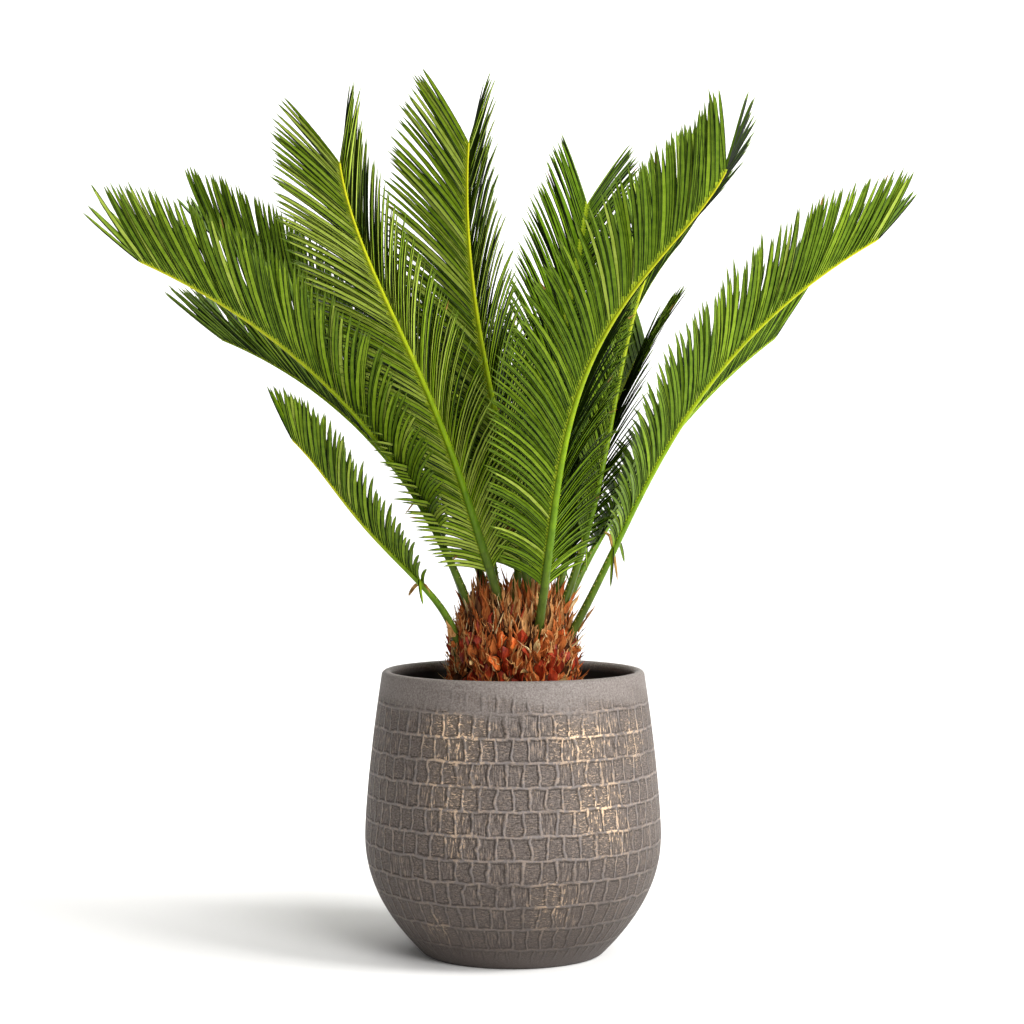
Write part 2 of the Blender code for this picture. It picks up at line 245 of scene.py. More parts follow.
def place_mesh(name, mesh):
    """Puts a mesh into the scene as an object, which is then the only one selected."""
    piece = bpy.data.objects.new(name, mesh)
    bpy.context.scene.collection.objects.link(piece)
    deselect_all()
    bpy.context.view_layer.objects.active = piece
    piece.select_set(True)
    return piece


def spun_piece(name, profile, steps):
    """A closed round piece: its profile, in radius and height, spun once about the upright axis."""
    outline = bpy.data.meshes.new(name)
    lines = [(k, k + 1) for k in range(len(profile) - 1)]
    outline.from_pydata([(radius, 0, height) for radius, height in profile], lines, [])
    piece = place_mesh(name, outline)
    bpy.ops.object.mode_set(mode="EDIT")
    bpy.ops.mesh.select_all(action="SELECT")
    bpy.ops.mesh.spin(steps=steps, angle=math.tau, center=(0, 0, 0), axis=(0, 0, 1))
    bpy.ops.mesh.select_all(action="SELECT")
    bpy.ops.mesh.remove_doubles(threshold=WELD)
    bpy.ops.mesh.normals_make_consistent(inside=False)
    bpy.ops.object.mode_set(mode="OBJECT")
    return piece


pot_profile = [(0.0, 0.0), (FOOT_RADIUS - FOOT_BEVEL, 0.0)]
pot_profile += [(pot_radius(z), z) for z in np.linspace(FOOT_BEVEL, POT_HEIGHT - POT_WALL / 2, POT_ROWS)]
lip_middle = MOUTH_RADIUS - POT_WALL / 2
for turn in np.radians(np.linspace(0, 180, 13)[1:]):
    pot_profile.append(
        (lip_middle + POT_WALL / 2 * math.cos(turn), POT_HEIGHT - POT_WALL / 2 * (1 - math.sin(turn)))
    )
inner_levels = np.linspace(POT_HEIGHT - POT_WALL / 2, INSIDE_LEVEL, 10)[1:]
pot_profile += [(pot_radius(z) - POT_WALL, z) for z in inner_levels] + [(0.0, inner_levels[-1])]
pot = spun_piece("pot_shell", pot_profile, POT_STEPS)

# Where the skin, the painted shade inside and the wash with its painted highlights lie, kept on the pot's
# points
points = np.array([vert.co for vert in pot.data.vertices])
levels = points[:, 2]
radii = np.hypot(points[:, 0], points[:, 1])
outside = radii > np.array([pot_radius(z) for z in levels]) - POT_WALL * 0.45
angle = np.arctan2(points[:, 1], points[:, 0])
below_lip = POT_HEIGHT - PLAIN_LIP - levels + LIP_WANDER * waves(angle, levels, 8)
fade = smooth_step(0.0, LIP_FADE, below_lip)
fade *= smooth_step(*FOOT_FADE, levels) * outside
# Painted shade: the inside wall of the pot, above the soil, is drawn near black
inner = (1 - outside) * smooth_step(0.0, 0.005, POT_HEIGHT - 0.003 - levels)
wash_and_highlight = np.zeros(len(points))
for turn, height, reach, strength in WASH_AND_HIGHLIGHT_PATCHES:
    aside = (angle - math.radians(turn) + math.pi) % math.tau - math.pi
    far = np.hypot(aside * BELLY_RADIUS, levels - height) / reach
    wash_and_highlight = np.maximum(wash_and_highlight, strength * np.exp(-(far**2)))
for label, values in (("skin", fade), ("inner", inner), ("wash_and_highlight", wash_and_highlight * fade)):
    attribute = pot.data.attributes.new(label, "FLOAT", "POINT")
    attribute.data.foreach_set("value", values.astype(np.float32))

# A map of metres round the belly and metres up. A face that crosses the map's seam stays on one side of it.
corners = np.array([loop.vertex_index for loop in pot.data.loops])
round_pot = np.stack([angle / math.tau + 0.5, levels], axis=1)[corners]
corner_counts = [len(face.vertices) for face in pot.data.polygons]
corner_faces = np.repeat(np.arange(len(corner_counts)), corner_counts)
furthest = np.zeros(len(corner_counts))
np.maximum.at(furthest, corner_faces, round_pot[:, 0])
round_pot[:, 0] += furthest[corner_faces] - round_pot[:, 0] > 0.5
round_pot[:, 0] *= BELLY_GIRTH
pot.data.uv_layers.new(name="round_pot").data.foreach_set("uv", round_pot.astype(np.float32).reshape(-1))
pot.data.update()
bpy.ops.object.shade_smooth()

# Fired stoneware: a matt, gritty body with a grain of about 1 mm. The skin is pressed into staggered tiles
# of about 15 by 21 mm with thin raised joints. The stamp left strokes of 1 to 2 mm in them, upright in some
# and level in others, and the wash caught on those in flecks of up to 5 mm, drawn peach-white, partly as
# painted highlights. Worn patches are about 30 mm across and clouds of tone about 70 mm. Inside the pot the
# body is painted near black as painted shade.
stoneware, shader = new_material("fired_stoneware")
place = add_node(stoneware, "ShaderNodeTexCoord").outputs["Object"]
round_pot = add_node(stoneware, "ShaderNodeUVMap", {"uv_map": "round_pot"})
skin, inner, wash_and_highlight = (
    add_node(stoneware, "ShaderNodeAttribute", {"attribute_name": label}).outputs["Fac"]
    for label in ("skin", "inner", "wash_and_highlight")
)
uneven = add_node(
    stoneware, "ShaderNodeTexNoise", {"Scale": 70.0, "Detail": 2.0, "Roughness": 0.45}, {"Vector": place}
)
centred = add_node(
    stoneware, "ShaderNodeVectorMath", {"operation": "SUBTRACT", 1: (0.5, 0.5, 0.5)},
    {0: uneven.outputs["Color"]},
)
offset = add_node(
    stoneware, "ShaderNodeVectorMath", {"operation": "MULTIPLY", 1: (0.009, 0.005, 0.0)}, {0: centred}
)
pressed = add_node(stoneware, "ShaderNodeVectorMath", {"operation": "ADD"}, {0: round_pot, 1: offset})
tiles = add_node(
    stoneware, "ShaderNodeTexBrick",
    {
        "Scale": 1.0, "Brick Width": BELLY_GIRTH / TILES_AROUND, "Row Height": TILE_ROW,
        "Mortar Size": TILE_JOINT, "Mortar Smooth": 1.0, "offset": 0.42, "Color1": (0.0, 0.0, 0.0, 1.0),
        "Color2": (1.0, 1.0, 1.0, 1.0), "Mortar": (0.5, 0.5, 0.5, 1.0),
    },
    {"Vector": pressed},
)
grit = add_node(
    stoneware, "ShaderNodeTexNoise", {"Scale": 640.0, "Detail": 4.0, "Roughness": 0.75}, {"Vector": place}
)
upright = add_node(stoneware, "ShaderNodeMapping", {"Scale": (1.0, 0.16, 1.0)}, {"Vector": round_pot})
strokes = add_node(
    stoneware, "ShaderNodeTexNoise", {"Scale": 620.0, "Detail": 2.0, "Roughness": 0.5}, {"Vector": upright}
)
level = add_node(stoneware, "ShaderNodeMapping", {"Scale": (0.3, 1.0, 1.0)}, {"Vector": round_pot})
scratches = add_node(
    stoneware, "ShaderNodeTexNoise", {"Scale": 900.0, "Detail": 3.0, "Roughness": 0.7}, {"Vector": level}
)
which = add_node(
    stoneware, "ShaderNodeMapRange", {"From Min": 0.6, "From Max": 0.66}, {"Value": tiles.outputs["Color"]}
)
hatching = add_node(
    stoneware, "ShaderNodeMix", {"data_type": "FLOAT"}, {"Factor": which, "A": scratches, "B": strokes}
)
wear = add_node(
    stoneware, "ShaderNodeTexNoise", {"Scale": 34.0, "Detail": 3.0, "Roughness": 0.6}, {"Vector": place}
)
wear_part = add_node(
    stoneware, "ShaderNodeMapRange", {"From Min": 0.34, "From Max": 0.5, "To Min": 0.25}, {"Value": wear}
)
crest = add_node(
    stoneware, "ShaderNodeMapRange", {"From Min": 0.62, "From Max": 0.9, "interpolation_type": "SMOOTHSTEP"},
    {"Value": tiles.outputs["Fac"]},
)
# Painted shadow: a dark band on the tile side of each raised joint, where the joint casts its shade
shadow_band_in = add_node(
    stoneware, "ShaderNodeMapRange", {"From Min": 0.02, "From Max": 0.2}, {"Value": tiles.outputs["Fac"]}
)
shadow_band_out = add_node(
    stoneware, "ShaderNodeMapRange", {"From Min": 0.2, "From Max": 0.5, "To Min": 1.0, "To Max": 0.0},
    {"Value": tiles.outputs["Fac"]},
)
foot = add_node(stoneware, "ShaderNodeMath", {"operation": "MULTIPLY"}, {0: shadow_band_in, 1: shadow_band_out})
worn = add_node(stoneware, "ShaderNodeMath", {"operation": "MULTIPLY"}, {0: crest, 1: wear_part})
joint = add_node(stoneware, "ShaderNodeMath", {"operation": "MULTIPLY"}, {0: worn, 1: skin})
joint_shadow = add_node(stoneware, "ShaderNodeMath", {"operation": "MULTIPLY"}, {0: foot, 1: skin})
grain = add_node(stoneware, "ShaderNodeMapRange", {"From Min": 0.34, "From Max": 0.66}, {"Value": grit})
hatch_part = add_node(
    stoneware, "ShaderNodeMapRange", {"From Min": 0.38, "From Max": 0.64}, {"Value": hatching}
)
clouds = add_node(
    stoneware, "ShaderNodeTexNoise", {"Scale": 14.0, "Detail": 3.0, "Roughness": 0.6}, {"Vector": place}
)
body_dark = add_node(
    stoneware, "ShaderNodeMix", {"data_type": "RGBA", "A": linear("#574C46"), "B": linear("#675C56")},
    {"Factor": clouds},
)
body_colour = add_node(
    stoneware, "ShaderNodeMix", {"data_type": "RGBA", "B": linear("#8E8681")},
    {"Factor": grain, "A": body_dark},
)
tile_dark = add_node(
    stoneware, "ShaderNodeMix", {"data_type": "RGBA", "A": linear("#241A14"), "B": linear("#372A23")},
    {"Factor": clouds},
)
both = add_node(
    stoneware, "ShaderNodeMath", {"operation": "MULTIPLY_ADD", 1: 0.6}, {0: hatch_part, 2: grain}
)
tile_part = add_node(stoneware, "ShaderNodeMapRange", {"From Min": 0.2, "From Max": 1.4}, {"Value": both})
tile_colour = add_node(
    stoneware, "ShaderNodeMix", {"data_type": "RGBA", "B": linear("#786D67")},
    {"Factor": tile_part, "A": tile_dark},
)
skin_colour = add_node(
    stoneware, "ShaderNodeMix", {"data_type": "RGBA"}, {"Factor": skin, "A": body_colour, "B": tile_colour}
)
joint_shadow_part = add_node(stoneware, "ShaderNodeMath", {"operation": "MULTIPLY", 1: 0.75}, {0: joint_shadow})
joint_part = add_node(stoneware, "ShaderNodeMath", {"operation": "MULTIPLY", 1: 0.7}, {0: joint})
flecks = add_node(
    stoneware, "ShaderNodeTexNoise", {"Scale": 200.0, "Detail": 4.0, "Roughness": 0.7}, {"Vector": place}
)
fleck_part = add_node(
    stoneware, "ShaderNodeMapRange", {"From Min": 0.47, "From Max": 0.54}, {"Value": flecks}
)
high_strokes = add_node(
    stoneware, "ShaderNodeMapRange", {"From Min": 0.53, "From Max": 0.6}, {"Value": hatching}
)
on_relief = add_node(stoneware, "ShaderNodeMath", {"operation": "MAXIMUM"}, {0: high_strokes, 1: joint})
spots = add_node(stoneware, "ShaderNodeMath", {"operation": "MULTIPLY"}, {0: on_relief, 1: fleck_part})
# Painted highlight in part: in the wash patches the flecks turn peach-white and a warm pale film lies over
# the skin
thin_wash_and_highlight = add_node(stoneware, "ShaderNodeMath", {"operation": "MAXIMUM", 1: 0.14}, {0: wash_and_highlight})
patches = add_node(stoneware, "ShaderNodeMath", {"operation": "MULTIPLY"}, {0: thin_wash_and_highlight, 1: skin})
gold_and_glint = add_node(
    stoneware, "ShaderNodeMath", {"operation": "MULTIPLY", "use_clamp": True}, {0: spots, 1: patches}
)
film_and_sheen_part = add_node(stoneware, "ShaderNodeMath", {"operation": "MULTIPLY", 1: 0.16}, {0: patches})
heights = add_node(stoneware, "ShaderNodeSeparateXYZ", {}, {"Vector": place})
# Painted shade: the pot darkens towards its foot, most at the floor
low_shade = add_node(
    stoneware, "ShaderNodeMapRange", {"From Min": 0.0, "From Max": 0.13, "To Min": 0.85, "To Max": 0.0},
    {"Value": heights.outputs["Z"]},
)

# What lies over the skin, in order: a painted shadow beside the joints, wiped joints, a film of wash that is
# partly painted sheen, its gold flecks, partly painted highlights, painted shade on the lower part, and
# painted shade inside
finished = skin_colour
for colour, cover in (
    ("#1B130F", joint_shadow_part), ("#857D7A", joint_part), ("#9A8468", film_and_sheen_part),
    ("#F4D0AA", gold_and_glint), ("#30241D", low_shade), ("#1D1814", inner),
):
    finished = add_node(
        stoneware, "ShaderNodeMix", {"data_type": "RGBA", "B": linear(colour)},
        {"Factor": cover, "A": finished},
    )
metal = add_node(stoneware, "ShaderNodeMath", {"operation": "MULTIPLY", 1: 0.4}, {0: gold_and_glint})
gloss = add_node(stoneware, "ShaderNodeMapRange", {"To Min": 0.62, "To Max": 0.34}, {"Value": gold_and_glint})
stroke_height = add_node(stoneware, "ShaderNodeMath", {"operation": "MULTIPLY"}, {0: hatching, 1: skin})
raised = add_node(stoneware, "ShaderNodeMath", {"operation": "MULTIPLY"}, {0: tiles.outputs["Fac"], 1: skin})
joint_height = add_node(
    stoneware, "ShaderNodeMath", {"operation": "MULTIPLY_ADD", 1: 0.5}, {0: stroke_height, 2: raised}
)
tile_bump = add_node(
    stoneware, "ShaderNodeBump", {"Strength": 1.0, "Distance": 0.0016}, {"Height": joint_height}
)
grit_bump = add_node(
    stoneware, "ShaderNodeBump", {"Strength": 0.7, "Distance": 0.0006}, {"Height": grit, "Normal": tile_bump}
)
feed(stoneware, shader, {"Base Color": finished, "Metallic": metal, "Roughness": gloss, "Normal": grit_bump})
pot.data.materials.append(stoneware)
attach(pot, "root")
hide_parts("pot")

# Soil. Dark moist potting mix of peat and bark, poured in loose and settled by watering. It fills the pot to
# 40 mm under the rim and holds the foot of the trunk.
SOIL_LEVEL = 0.214
SOIL_FOOT = 0.190
SOIL_STEPS = 200
SOIL_RINGS = 44
CRUMB = 0.0022


def mesh_piece(name, points, faces, slots, materials, smooth_degrees):
    """A piece from arrays: points, faces, each face's material number, and the materials."""
    mesh = bpy.data.meshes.new(name)
    mesh.from_pydata([tuple(point) for point in points], [], faces)
    for material in materials:
        mesh.materials.append(material)
    mesh.polygons.foreach_set("material_index", slots)
    mesh.update()
    piece = place_mesh(name, mesh)
    bpy.ops.object.shade_smooth_by_angle(angle=math.radians(smooth_degrees))
    return piece


def grainy(points, size, seed, count=7):
    """An uneven field with bumps of about this size, between about -1 and 1."""
    rng = np.random.default_rng(seed)
    total = np.zeros(len(points))
    for _ in range(count):
        way = rng.normal(size=3)
        way *= math.tau / size / np.linalg.norm(way) * rng.uniform(0.6, 1.5)
        total += np.sin(points @ way + rng.uniform(0, math.tau))
    return total / count**0.5


soil_reach = pot_radius(SOIL_LEVEL) - POT_WALL - 0.0008
soil_profile = [(soil_reach * k / SOIL_RINGS, SOIL_LEVEL) for k in range(SOIL_RINGS + 1)]
soil_profile += [(soil_reach - 0.002, SOIL_FOOT), (0.0, SOIL_FOOT)]
soil = spun_piece("potting_mix", soil_profile, SOIL_STEPS)
points = np.array([vert.co for vert in soil.data.vertices])
on_top = points[:, 2] > SOIL_LEVEL - 0.001
crumbs = np.abs(grainy(points, 0.011, 21)) + 0.6 * np.abs(grainy(points, 0.005, 22))
points[:, 2] += on_top * (CRUMB * crumbs - CRUMB)
soil.data.vertices.foreach_set("co", points.reshape(-1))
soil.data.update()
bpy.ops.object.shade_smooth()

# Moist potting mix: near black peat with bark crumbs of about 3 mm, dull all over.
potting_mix, shader = new_material("moist_potting_mix", {"Roughness": 0.95})
place = add_node(potting_mix, "ShaderNodeTexCoord").outputs["Object"]
crumb_cells = add_node(potting_mix, "ShaderNodeTexVoronoi", {"Scale": 330.0}, {"Vector": place})
crumb_tone = add_node(
    potting_mix, "ShaderNodeMapRange", {"From Min": 0.1, "From Max": 0.9}, {"Value": crumb_cells}
)
mix_colour = add_node(
    potting_mix, "ShaderNodeMix", {"data_type": "RGBA", "A": linear("#2B211A"), "B": linear("#120D0A")},
    {"Factor": crumb_tone},
)
crumb_bump = add_node(
    potting_mix, "ShaderNodeBump", {"Strength": 0.8, "Distance": 0.002}, {"Height": crumb_cells}
)
feed(potting_mix, shader, {"Base Color": mix_colour, "Normal": crumb_bump})
soil.data.materials.append(potting_mix)
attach(soil, "root")
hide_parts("soil")

# Fronds. Each one is a stiff feather: a rib that is round and bare at its foot, with narrow leaflets on both
# sides above. The foot sits 14 mm deep in the top of the trunk. The fronds grow by the rule of the solids,
# with a leaflet every 3.1 mm in place of every 15 mm.
PETIOLE_RADIUS = 0.0044
TIP_RADIUS = 0.0008
SINK = 0.014
LEAFLET_PITCH = 0.0031
LEAFLET_WIDTH = 0.0041
LEAFLET_LENGTHS = ((0.0, 0.42), (0.12, 0.72), (0.35, 1.0), (0.7, 1.0), (0.9, 0.86), (1.0, 0.72))
LEAFLET_ANGLES = ((0.0, 62), (0.15, 50), (0.4, 41), (0.7, 38), (1.0, 34))
LEAFLET_BOWS = ((0.0, 34), (0.5, 22), (1.0, 6))
LEAFLET_LIFTS = ((0.0, 0.35), (0.3, 0.85), (0.6, 1.0), (1.0, 1.1))

# sway is the rib's slope to the right and lean its slope away from the viewer, both off the vertical in
# degrees, evenly spaced from foot to tip. face is the heading of the upper side (0 right, 90 away), roll
# turns the blade about its rib at foot and tip, and vee lifts the leaflets. leaflet is the length of the
# longest ones, and bare is the petiole's share.
Frond = namedtuple("Frond", "name foot length sway lean face roll vee leaflet bare")
FRONDS = (
    Frond("frond_left_low", (-0.049, -0.022, 0.275), 0.245, (-6, -44, -38, -46), (-10, -22, -24, -24),
          20, (0, 0), 40, 0.074, 0.26),
    Frond("frond_left_arch", (-0.034, -0.012, 0.298), 0.448, (-19, -33, -50, -66), (-16, -22, -24, -20),
          20, (-5, -5), 50, 0.109, 0.20),
    Frond("frond_left_front", (-0.008, -0.026, 0.308), 0.442, (-20, -19, -24, -6), (-16, -24, -30, -36),
          80, (20, 30), 38, 0.099, 0.09),
    Frond("frond_centre", (0.014, -0.014, 0.304), 0.421, (-2, -12, -8, 4), (-10, -10, -8, -6),
          90, (20, 30), 38, 0.112, 0.09),
    Frond("frond_right_front", (0.022, -0.042, 0.289), 0.460, (7, 7, 18, 38, 27), (-20, -24, -26, -26, -24),
          110, (-5, 45), 38, 0.104, 0.10),
    Frond("frond_right_arch", (0.048, -0.018, 0.282), 0.452, (30, 27, 42, 60), (-10, -12, -10, -8),
          165, (4, 4), 44, 0.098, 0.20),
    Frond("frond_left_back", (-0.038, 0.020, 0.298), 0.400, (-16, -35, -52, -68), (18, 30, 36, 40),
          340, (0, 0), 36, 0.104, 0.20),
    Frond("frond_right_inner", (0.040, -0.006, 0.300), 0.460, (22, 14, 12, 20, 38), (10, 18, 24, 28, 30),
          200, (-30, -30), 36, 0.092, 0.16),
    Frond("frond_back_upright", (0.000, 0.012, 0.306), 0.416, (7, 11, 12, 9), (12, 20, 24, 28),
          260, (10, 10), 34, 0.104, 0.09),
    Frond("frond_back_left", (-0.018, 0.018, 0.304), 0.445, (-15, -32, -43, -56), (6, 8, 10, 12),
          10, (0, 0), 44, 0.094, 0.09),
    Frond("frond_back_right", (0.016, 0.026, 0.304), 0.418, (14, 19, 24, 40), (14, 24, 32, 36),
          250, (-44, -44), 34, 0.104, 0.09),
    Frond("frond_right_outer", (0.034, 0.012, 0.302), 0.310, (16, 18, 22, 32), (20, 30, 36, 40),
          230, (0, 0), 34, 0.100, 0.16),
    Frond("frond_right_back", (0.042, 0.024, 0.296), 0.385, (22, 35, 44, 54), (20, 32, 38, 40),
          200, (0, 0), 36, 0.104, 0.20),
    Frond("frond_rear_left", (-0.012, 0.038, 0.298), 0.430, (-6, -14, -16, -16), (26, 46, 58, 66),
          290, (0, 0), 40, 0.110, 0.18),
    Frond("frond_rear_right", (0.012, 0.042, 0.297), 0.430, (8, 14, 16, 16), (26, 44, 56, 66),
          250, (0, 0), 40, 0.110, 0.18),
)


def at(table, part):
    """The value that a table of places and values gives at this part."""
    return np.interp(part, [row[0] for row in table], [row[1] for row in table])


def through(values, parts):
    """The smooth curve through values that are evenly spaced over 0 to 1."""
    places = np.linspace(0, 1, len(values))
    total = np.zeros_like(parts)
    for value, place in zip(values, places):
        others = places[places != place]
        total += value * np.prod([(parts - other) / (place - other) for other in others], axis=0)
    return total


def unit(rows):
    """The same directions, each at length 1."""
    return rows / np.linalg.norm(rows, axis=-1, keepdims=True)


def rib_frames(frond, steps=240):
    """Points of the rib, with its direction, its upper side and its right side at each of them."""
    parts = np.linspace(0, 1, steps + 1)
    slopes = [np.tan(np.radians(through(angles, parts))) for angles in (frond.sway, frond.lean)]
    along = unit(np.stack([*slopes, np.ones_like(parts)], axis=1))
    strides = (along[1:] + along[:-1]) / 2 * frond.length / steps
    points = np.array(frond.foot) + np.vstack([np.zeros(3), np.cumsum(strides, axis=0)])
    heading = math.radians(frond.face)
    inward = np.array([math.cos(heading), math.sin(heading), 0.0])
    upper = unit(inward - along * (along @ inward)[:, None])
    side = np.cross(along, upper)
    roll = np.radians(np.interp(parts, [0, 1], frond.roll))[:, None]
    turned_upper = upper * np.cos(roll) + side * np.sin(roll)
    turned_side = side * np.cos(roll) - upper * np.sin(roll)
    return parts, points, along, turned_upper, turned_side


def frames_at(frames, wanted):
    """Frames of the rib at several places. Below the foot the rib runs on straight, into the trunk."""
    parts, points, along, upper, side = frames
    sets = [
        np.stack([np.interp(wanted, parts, rows[:, k]) for k in range(3)], axis=1)
        for rows in (points, along, upper, side)
    ]
    stride = np.linalg.norm(points[1] - points[0]) / parts[1]
    sets[0] = sets[0] + sets[1] * (np.minimum(wanted, 0) * stride)[:, None]
    return sets[0], unit(sets[1]), unit(sets[2]), unit(sets[3])


def rib_radius(parts):
    """The rib's radius at shares of its length."""
    return TIP_RADIUS + (PETIOLE_RADIUS - TIP_RADIUS) * (1 - np.maximum(parts, 0)) ** 1.5


def skin_material(name, low, high, roughness, size, stretch=(1, 1, 1), bump=0.3, depth=0.0004, shine=0.1):
    """Plant skin: two close tones in streaks of this size in metres, with a fine relief of the streaks."""
    material, shader = new_material(name, {"Roughness": roughness, "Specular IOR Level": shine})
    place = add_node(material, "ShaderNodeTexCoord").outputs["Object"]
    stretched = add_node(material, "ShaderNodeMapping", {"Scale": stretch}, {"Vector": place})
    streaks = add_node(
        material, "ShaderNodeTexNoise", {"Scale": 1 / size, "Detail": 4.0, "Roughness": 0.6},
        {"Vector": stretched},
    )
    contrast = add_node(
        material, "ShaderNodeMapRange", {"From Min": 0.35, "From Max": 0.65}, {"Value": streaks}
    )
    tone = add_node(
        material, "ShaderNodeMix", {"data_type": "RGBA", "A": linear(low), "B": linear(high)},
        {"Factor": contrast},
    )
    relief = add_node(
        material, "ShaderNodeBump", {"Strength": bump, "Distance": depth}, {"Height": streaks}
    )
    feed(material, shader, {"Base Color": tone, "Normal": relief})
    return material


FRAMES = {frond.name: rib_frames(frond) for frond in FRONDS}

# Ribs. Each is one tough woody stalk with a smooth green skin. It is thickest and nearly round at its foot,
# where the scales of the trunk hold it, and it thins to less than 2 mm at the tip.
RIB_SIDES = 10
RIB_STATIONS = 90
RIB_TOP_FLATTENING = 0.82

# Rib skin is a waxy cuticle with a soft gloss and faint streaks of about 4 mm. It is olive green at the foot
# and turns yellow towards the tip. Light and dark tone at six places of the rib, from foot to tip:
RIB_TONES = (
    ("#4E581E", "#384210"), ("#566A1C", "#42540E"), ("#688A12", "#54760C"),
    ("#8CA80E", "#76940A"), ("#AEB610", "#98A60C"), ("#CCC81A", "#B6B612"),
)
RIB_SHADES = 20


def rib_tone(shade, kind):
    """The hex colour of this shade, counted from foot to tip. Kind 0 is its light tone, kind 1 its dark."""
    rows = [[int(tones[kind][k : k + 2], 16) for k in (1, 3, 5)] for tones in RIB_TONES]
    places = np.linspace(0, RIB_SHADES - 1, len(rows))
    values = [round(float(np.interp(shade, places, [row[k] for row in rows]))) for k in range(3)]
    return "#" + "".join(f"{value:02X}" for value in values)


rib_materials = [
    skin_material(
        f"rib_skin_{k}", rib_tone(k, 1), rib_tone(k, 0), 0.4, 0.004,
        stretch=(1, 1, 0.2), bump=0.25, depth=0.0003, shine=0.18,
    )
    for k in range(RIB_SHADES)
]
points, faces, slots = [], [], []
for frond in FRONDS:
    wanted = np.concatenate([[-SINK / frond.length], np.linspace(0, 1, RIB_STATIONS)])
    centres, along, upper, side = frames_at(FRAMES[frond.name], wanted)
    start = len(points)
    for row, part in enumerate(wanted):
        radius = rib_radius(part)
        for k in range(RIB_SIDES):
            turn = math.tau * k / RIB_SIDES
            flat = RIB_TOP_FLATTENING if math.sin(turn) > 0.5 else 1.0
            offset = math.cos(turn) * side[row] + flat * math.sin(turn) * upper[row]
            points.append(centres[row] + radius * offset)
    for row in range(len(wanted) - 1):
        part = max(wanted[row], 0)
        tone = int((RIB_SHADES - 0.01) * part**0.6)
        # Painted shade: the ribs of the fronds behind stop at a middle shade, darker and greener than the
        # tips in front
        if frond.foot[1] > 0:
            tone = min(tone, RIB_SHADES // 2)
        slots += [tone] * RIB_SIDES
        for k in range(RIB_SIDES):
            after = (k + 1) % RIB_SIDES
            base = start + row * RIB_SIDES
            faces.append((base + k, base + after, base + RIB_SIDES + after, base + RIB_SIDES + k))
    last = start + (len(wanted) - 1) * RIB_SIDES
    faces.append(tuple(range(last, last + RIB_SIDES)))
    faces.append(tuple(reversed(range(start, start + RIB_SIDES))))
    slots += [RIB_SHADES - 1, 0]
ribs = mesh_piece("ribs", points, faces, slots, rib_materials, 60)
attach(ribs, "root")

# Petiole teeth. Short hard spines along both edges of each bare petiole, where leaflets never grew. They
# lean towards the tip and get longer further up.
TOOTH_PITCH = 0.0058
TOOTH_LENGTHS = (0.0014, 0.0034)
TOOTH_ROOT = 0.0006
FIRST_TOOTH = 0.03

# Tooth horn: the hard dead end of a leaflet, dull and horn yellow
tooth_material = skin_material("tooth_horn", "#8E8A3A", "#C4B868", 0.5, 0.002)
rng = np.random.default_rng(61)
points, faces = [], []
for frond in FRONDS:
    teeth = int(frond.length * (frond.bare - 0.02) / TOOTH_PITCH)
    wanted = np.repeat(np.linspace(FIRST_TOOTH, frond.bare, teeth), 2)
    wanted = wanted + rng.uniform(-0.003, 0.003, 2 * teeth)
    centres, along, upper, side = frames_at(FRAMES[frond.name], wanted)
    for row, part in enumerate(wanted):
        hand = 1 if row % 2 else -1
        way = side[row] * hand + along[row] * rng.uniform(0.5, 1.1) + upper[row] * rng.uniform(0.0, 0.5)
        way = unit(way)
        radius = rib_radius(part)
        root = centres[row] + side[row] * hand * radius * 0.86 + upper[row] * radius * 0.3
        length = np.interp(part / frond.bare, [0, 1], TOOTH_LENGTHS) * rng.uniform(0.8, 1.2)
        across = unit(np.cross(way, upper[row])) * TOOTH_ROOT
        over = unit(np.cross(way, across)) * TOOTH_ROOT
        start = len(points)
        points += [root - across, root - over, root + across, root + over, root + way * length]
        faces += [(start + k, start + (k + 1) % 4, start + 4) for k in range(4)]
        faces.append((start + 3, start + 2, start + 1, start))
teeth = mesh_piece("petiole_teeth", points, faces, [0] * len(faces), [tooth_material], 30)
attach(teeth, "root")

# Leaflets. Narrow, stiff and leathery, arched in section, with margins that roll under and a sharp point.
# They grow from the two upper edges of the rib. A few have dried brown or snapped.
STATIONS = np.array((0.0, 0.05, 0.2, 0.4, 0.6, 0.78, 0.9, 1.0))
WIDTHS = np.array((0.55, 0.92, 1.0, 1.0, 0.94, 0.78, 0.52, 0.0))
FOLD = 0.2
LEAF_THICK = 0.0003
UP = np.array([0.0, 0.0, 1.0])

# How far leaflets differ from each other: length, angle off the rib, lift, twist, width
LENGTH_SPREAD = (0.94, 1.03)
ANGLE_SPREAD = 1.3
LIFT_SPREAD = 3
TWIST_SPREAD = 4
WIDTH_SPREAD = (0.92, 1.06)

# Every leaflet turns about its own length by TWIST degrees. Where the blade is rolled about its rib, the
# leaflets of the right side also turn back by a fifth of that roll, and those of the left side turn on.
TWIST = 13
ROLL_TWIST = -0.2

# Corners of the section: across in half widths, up in folds, up in thicknesses
SECTION = (
    (-1.0, 0.0, 0.0), (-0.7, 1.0, 1.0), (0.7, 1.0, 1.0),
    (1.0, 0.0, 0.0), (0.7, 1.0, -1.0), (-0.7, 1.0, -1.0),
)

